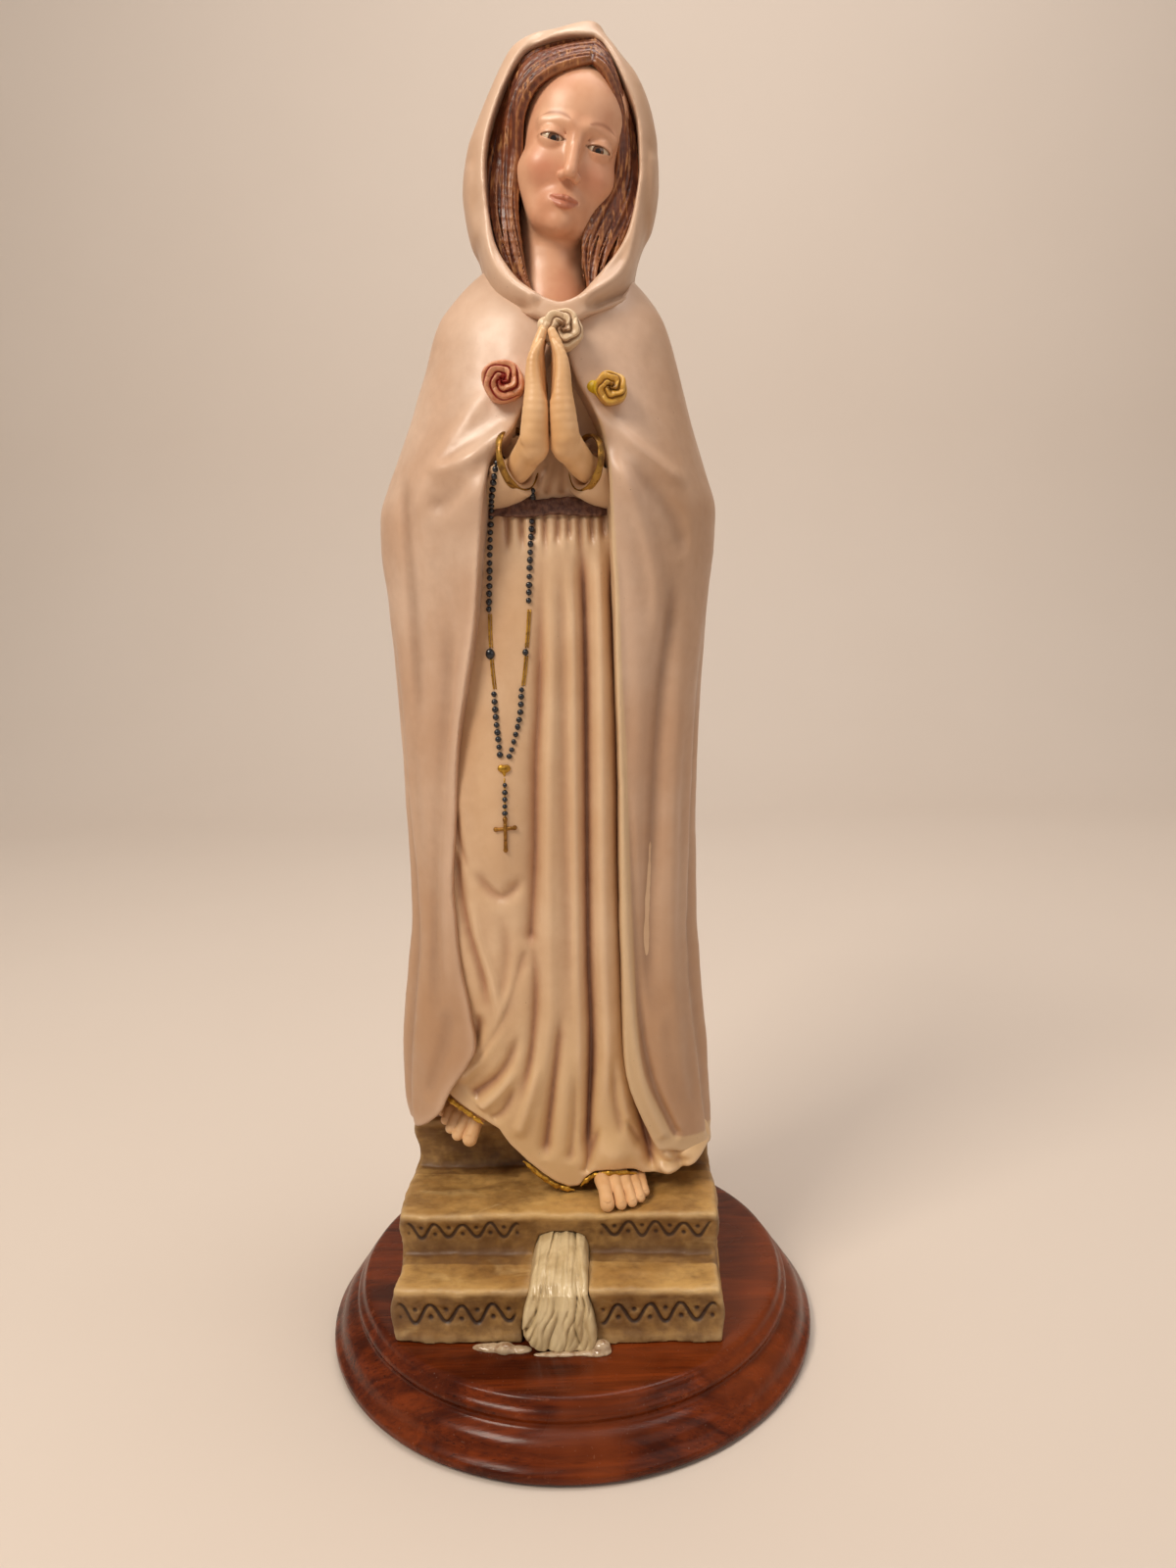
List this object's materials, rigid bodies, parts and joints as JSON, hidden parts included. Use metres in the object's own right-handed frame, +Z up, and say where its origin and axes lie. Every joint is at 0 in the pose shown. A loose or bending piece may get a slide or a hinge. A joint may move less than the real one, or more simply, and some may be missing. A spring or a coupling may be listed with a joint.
{
  "type": "madonna statue",
  "caption": "Hooded standing madonna figure with joined hands and a rosary, on a stepped rock with a small waterfall, glued to a turned round wooden plinth.",
  "frame": {"origin": "centre of the plinth's underside", "axes": "+Z up along the figure's height, front towards -Y, +X to the right of a viewer in front"},
  "size_m": [0.176, 0.176, 0.4424],
  "materials": {
    "wood": "dark mahogany stain under a glossy varnish",
    "adhesive": "clear hot-melt adhesive",
    "rock": "cast polyresin painted beige-brown with a dark wash in the hollows",
    "water": "cast polyresin painted off-white",
    "mantle": "cast polyresin in warm ivory with a satin lacquer and a grey-brown antiquing wash",
    "robe": "cast polyresin in warm cream with a satin lacquer and a brown antiquing wash",
    "skin": "flesh-coloured paint under a satin lacquer",
    "hair": "auburn paint with lighter strands",
    "belt": "rough purplish-brown paint",
    "gilding": "gold paint over resin",
    "bronze_paint": "bronze paint over resin",
    "rosary_beads": "near-black gloss paint over moulded beads",
    "rose_cream": "cream paint with brown wash between the petals",
    "rose_red": "peach paint with dark red between the petals",
    "rose_yellow": "mustard-yellow paint with brown wash between the petals"
  },
  "bodies": {
    "root": {"plinth": "wood", "adhesive_bed": "adhesive", "adhesive_bead_left": "adhesive", "adhesive_bead_right": "adhesive", "lower_step": "rock", "middle_step": "rock", "upper_step": "rock", "waterfall": "water", "foot_left": "skin", "foot_right": "skin", "robe": "robe", "belt": "belt", "bodice": "robe", "sleeve_left": "robe", "sleeve_right": "robe", "cuff_trim_left": "gilding", "cuff_trim_right": "gilding", "hand_left": "skin", "hand_right": "skin", "mantle": "mantle", "hood": "mantle", "hair": "hair", "head": "skin", "neck": "skin", "rose_clasp": "rose_cream", "rose_red": "rose_red", "rose_yellow": "rose_yellow", "rosary_strand_left": "rosary_beads", "rosary_strand_right": "rosary_beads", "rosary_drop": "rosary_beads", "rosary_medal": "gilding", "rosary_cross": "bronze_paint", "hem_gilding_left": "gilding", "hem_gilding_middle": "gilding", "hem_gilding_right": "gilding"}
  },
  "joints": []
}
